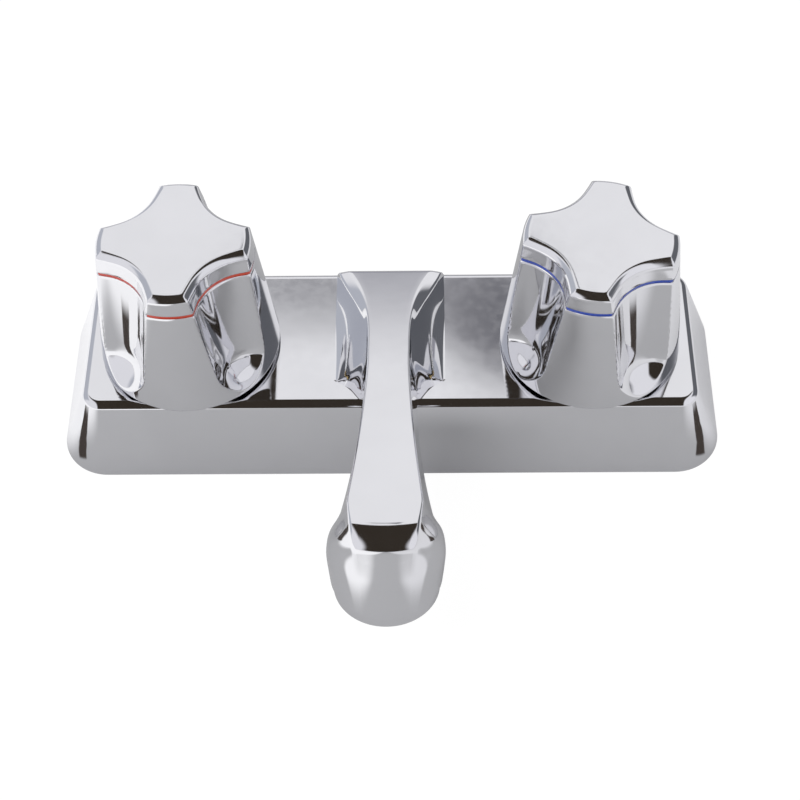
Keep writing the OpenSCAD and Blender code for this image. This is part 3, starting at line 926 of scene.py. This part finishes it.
def chrome(name, rough=0.06):
    """Polished chrome plate: a faint waviness from buffing and a slightly varied gloss."""
    tint = (0.83, 0.83, 0.85)
    dimmed = [c * 0.97 for c in tint]
    material, wire = new_material(name)
    wide = grain(wire, 60, 2)
    fine = grain(wire, 420, 4)
    surface(wire.add("BsdfPrincipled", {}, {
        "Base Color": wide.step(*tone_range).colour(dimmed, tint),
        "Metallic": 1.0,
        "Roughness": fine.step(0.35, 0.65, rough * 0.85, rough * 1.2),
        "Normal": bumped(wire, wide, strength=0.05, distance=0.0004),
    }))
    return material


def plastic(name, low, high, rough, coat=0.0, scale=900, strength=0.08):
    """Moulded plastic or rubber: two close shades and a fine skin."""
    material, wire = new_material(name)
    wide = grain(wire, 120, 2)
    fine = grain(wire, scale, 4)
    surface(wire.add("BsdfPrincipled", {}, {
        "Base Color": wide.step(*tone_range).colour(low, high),
        "Roughness": fine.step(*tone_range, rough * 0.85, rough * 1.15),
        "Coat Weight": coat,
        "Normal": bumped(wire, fine, strength, distance=0.0002),
    }))
    return material


def bare_metal(name, low, high, rough, stretch=(1, 1, 1), strength=0.1):
    """Cast or turned metal: darker patches, with rings from the tool where it was turned."""
    material, wire = new_material(name)
    wide = grain(wire, 90, 4)
    fine = grain(wire, 700, 4, stretch)
    surface(wire.add("BsdfPrincipled", {}, {
        "Base Color": wide.step(*tone_range).colour(low, high),
        "Metallic": 1.0,
        "Roughness": (0.5 * wide + 0.5 * fine).step(*tone_range, rough * 0.7, rough * 1.3),
        "Normal": bumped(wire, fine, strength, distance=0.0003),
    }))
    return material


def make_materials():
    """One material for each of the record's slots, by the slot's name."""
    rings_wide = (0.1, 0.1, 3)
    rings_fine = (0.2, 0.2, 3)
    made = {}

    def finish(slot, maker, *tones, **settings):
        made[slot] = maker(slot, *tones, **settings)

    finish("chrome_body", chrome)
    finish("chrome_knob", chrome)
    finish("chrome_cap", chrome, rough=0.09)
    finish("chrome_ring", chrome)
    finish("hot_mark", plastic, (0.62, 0.06, 0.035), (0.7, 0.09, 0.05), rough=0.25, coat=0.6)
    finish("cold_mark", plastic, (0.03, 0.07, 0.42), (0.05, 0.1, 0.5), rough=0.25, coat=0.6)
    finish("cast_brass", bare_metal, (0.5, 0.34, 0.14), (0.66, 0.48, 0.22), rough=0.45, strength=0.3)
    finish(
        "turned_brass", bare_metal, (0.62, 0.44, 0.18), (0.74, 0.55, 0.26),
        rough=0.25, stretch=rings_wide,
    )
    finish("seal_rubber", plastic, (0.02, 0.02, 0.022), (0.035, 0.035, 0.038), rough=0.6)
    finish(
        "gasket_rubber", plastic, (0.08, 0.08, 0.085), (0.12, 0.12, 0.125),
        rough=0.75, scale=500, strength=0.2,
    )
    finish("white_plastic", plastic, (0.76, 0.76, 0.74), (0.82, 0.82, 0.8), rough=0.4)
    finish("tube_plastic", plastic, (0.72, 0.7, 0.62), (0.78, 0.77, 0.7), rough=0.4)
    finish("cartridge_plastic", plastic, (0.6, 0.55, 0.4), (0.66, 0.62, 0.48), rough=0.45)
    finish("white_ceramic", plastic, (0.78, 0.78, 0.76), (0.84, 0.84, 0.82), rough=0.12, strength=0.02)
    finish("steel", bare_metal, (0.5, 0.5, 0.51), (0.62, 0.62, 0.63), rough=0.3, stretch=rings_fine)
    return made


# Assembly

def dress(piece, node, body, slot):
    """The piece stands for the node, rides on its body and takes the slot's finish."""
    piece.data.materials.clear()
    piece.data.materials.append(materials[slot])
    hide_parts(node)
    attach(piece, body)


materials = make_materials()

dress(make_body(), "body_shell", "base", "chrome_body")
dress(make_aerator_ring("chrome_aerator_ring"), "aerator_housing", "base", "chrome_ring")
for side, word in ((-1, "hot"), (1, "cold")):
    for maker, node, slot in (
        (make_handle, "handle", "chrome_knob"),
        (make_index_ring, "index_ring", word + "_mark"),
        (make_cap, "handle_cap", "chrome_cap"),
    ):
        piece = maker(word + "_fine_" + node)
        place(piece, knob_matrix(side))
        dress(piece, word + "_" + node, word + "_knob", slot)
    shank = make_shank(word + "_threaded_shank")
    place(shank, Matrix.Translation((side * valve_x * MM, 0, 0)))
    dress(shank, word + "_supply_shank", "base", "turned_brass")

slot_of = {part["node"]: part["material_slot"] for part in frame["record"]["subparts"]}
for node, piece in frame["nodes"].items():
    piece.data.materials.clear()
    piece.data.materials.append(materials[slot_of[node]])


# Studio. To the camera the floor and the world are white, and polished metal mirrors a room in them

def make_floor():
    """Mirrored, the floor is grey near the part as painted shade, paler outside as painted light from the
    sides, and dark at the deck's front corners.
    """
    size = 4.0
    drop = 0.0001
    corners = [(-size, -size, 0), (size, -size, 0), (size, size, 0), (-size, size, 0)]
    floor = make_object("floor", corners, [(0, 1, 2, 3)])
    floor.location.z = -drop
    material, wire = new_material("floor")
    seen = wire.add("LightPath", output="Is Camera Ray")
    across = wire.add("SeparateXYZ", {}, {"Vector": wire.add("TexCoord", output="Object")})
    along = across.also(1)
    far_x = wire.math("ABSOLUTE", across)

    # A patch lies on a slanted line on the floor, widens outwards and has a ragged edge
    line_y = 0.0154
    line_slant = 0.109
    patch_widening = 0.22
    patch_edge = (-0.0165, -0.0155)
    ragged = grain(wire, 90, 2) * 0.004
    off_line = wire.math("ABSOLUTE", along + line_slant * far_x + line_y + ragged)
    beside = (off_line - patch_widening * far_x).step(*patch_edge)
    patch = (1 - beside) * far_x.between((0.084, 0.086), (0.11, 0.12))

    # Painted shade: the floor is grey where shade falls near the part, widest under the spout, and
    # narrower in front of it and beside the deck. Only mirrored rays see it
    front_cut = 0.036 * (1 - along.step(-0.125, -0.1))
    deck_cut = 0.03 * along.step(-0.03, -0.01)
    # Painted light: outside the painted shade the floor is paler on the left than on the right, as lit
    # from the sides; only mirrored rays see it
    side_light = across.step(-0.1, 0.1).colour((0.95, 0.95, 0.96), (0.74, 0.74, 0.76))
    shade = (far_x + front_cut + deck_cut).step(0.09, 0.118).colour((0.44, 0.44, 0.45), side_light)
    lit = wire.add("BsdfDiffuse", {}, {"Color": patch.colour(shade, (0.06, 0.05, 0.045))})

    white = wire.add("Emission", {}, {"Color": (1, 1, 1, 1), "Strength": 0.93})
    faint = wire.add("BsdfDiffuse", {}, {"Color": (0.1, 0.1, 0.1, 1)})
    pale = wire.add("AddShader", {}, {0: white, 1: faint})
    shown = wire.add("MixShader", {}, {0: seen, 1: lit, 2: pale})
    back = wire.add("NewGeometry", output="Backfacing")
    surface(wire.add("MixShader", {}, {0: back, 1: shown, 2: wire.add("BsdfTransparent")}))
    floor.data.materials.append(material)


def mirrored_room(wire):
    """The colour of the world in a mirror, by the direction that the mirrored ray leaves in.

    Turn is that direction's angle up from the horizon behind the part, seen along X. Side is its angle
    round the part, from behind to the front, alike on the left and the right. Both are in degrees.
    """
    degrees = 180 / math.pi
    x = wire.add("SeparateXYZ", {}, {"Vector": wire.add("TexCoord", output="Generated")})
    y, z = x.also(1), x.also(2)
    turn = wire.math("ARCTAN2", z, y) * degrees
    aside = wire.math("ABSOLUTE", x)
    side = wire.math("ARCTAN2", aside, y) * degrees
    right = x.step(-0.02, 0.05)

    # A wall behind is grey at its foot and bright above, and ends at a dark ceiling
    wall_tone = turn.step(11.5, 16.5).colour((0.36, 0.36, 0.4), (0.9, 0.9, 0.92))
    room = turn.step(57.5, 58.7).colour(wall_tone, (0.035, 0.028, 0.022))

    # A narrow shelf on the wall is darker and a little higher on the right
    shelf_low = turn.step(50.2, 50.9)
    shelf_high = (turn - right * 2).step(51.3, 53.8)
    shelf_x = x.between((-0.115, -0.085), (0.055, 0.075))
    shelf_tone = right.colour((0.36, 0.36, 0.38), (0.17, 0.17, 0.19))
    middle = (shelf_low * (1 - shelf_high) * shelf_x).colour(room, shelf_tone)

    # Pale panels at the sides have a grey band on the left and a dark one on the right
    band = side.between((14, 26), (80, 95)) * (1 - z.step(0.74, 0.8))
    band_tone = x.step(-0.1, 0.1).colour((0.5, 0.52, 0.58), (0.13, 0.135, 0.15))
    panel = band.colour((0.84, 0.84, 0.88), band_tone)
    return aside.step(0.3, 0.4).colour(middle, panel)


def make_world():
    world = bpy.data.worlds.new("studio")
    bpy.context.scene.world = world
    world.use_nodes = True
    world.node_tree.nodes.clear()
    wire = Wire(world.node_tree)
    path = wire.add("LightPath")
    mirror = wire.math("MAXIMUM", path.also("Is Glossy Ray"), path.also("Is Transmission Ray"))
    plain = wire.add("Background", {}, {"Color": (1, 1, 1, 1), "Strength": 0.8})
    room = wire.add("Background", {}, {"Color": mirrored_room(wire), "Strength": 1.0})
    white = wire.add("Background", {}, {"Color": (1, 1, 1, 1), "Strength": 1.0})
    unseen = wire.add("MixShader", {}, {0: mirror, 1: plain, 2: room})
    final = wire.add("MixShader", {}, {0: path.also("Is Camera Ray"), 1: unseen, 2: white})
    surface(final, "OutputWorld")


def make_lamp():
    data = bpy.data.lights.new("soft_lamp", "AREA")
    data.shape = "DISK"
    data.size = 0.8
    data.energy = 6
    lamp = bpy.data.objects.new("soft_lamp", data)
    bpy.context.scene.collection.objects.link(lamp)
    lamp.location = (-0.5, -0.3, 1.1)
    lamp.rotation_mode = "QUATERNION"
    lamp.rotation_quaternion = (-lamp.location).to_track_quat("-Z", "Y")
    lamp.visible_glossy = False


def make_camera():
    """The photograph's view, as fitted to the faucet's known sizes."""
    azimuth = 1.44
    elevation = 55.10
    roll = -1.52
    distance = 436.7
    target = Vector((2.63, -19.51, 21.7))
    back = Vector((
        sin_deg(azimuth) * cos_deg(elevation),
        -cos_deg(azimuth) * cos_deg(elevation),
        sin_deg(elevation),
    ))
    right = Vector((cos_deg(azimuth), sin_deg(azimuth), 0))
    up = back.cross(right)
    right, up = (
        right * cos_deg(roll) + up * sin_deg(roll),
        up * cos_deg(roll) - right * sin_deg(roll),
    )
    data = bpy.data.cameras.new("camera")
    data.lens = 79.1
    data.sensor_width = 36
    data.clip_start = 0.01
    camera = bpy.data.objects.new("camera", data)
    bpy.context.scene.collection.objects.link(camera)
    turn = Matrix((right, up, back)).transposed().to_4x4()
    camera.matrix_world = Matrix.Translation((target + back * distance) * MM) @ turn
    bpy.context.scene.camera = camera


make_floor()
make_world()
make_lamp()
make_camera()
bpy.context.scene.view_settings.view_transform = "Standard"
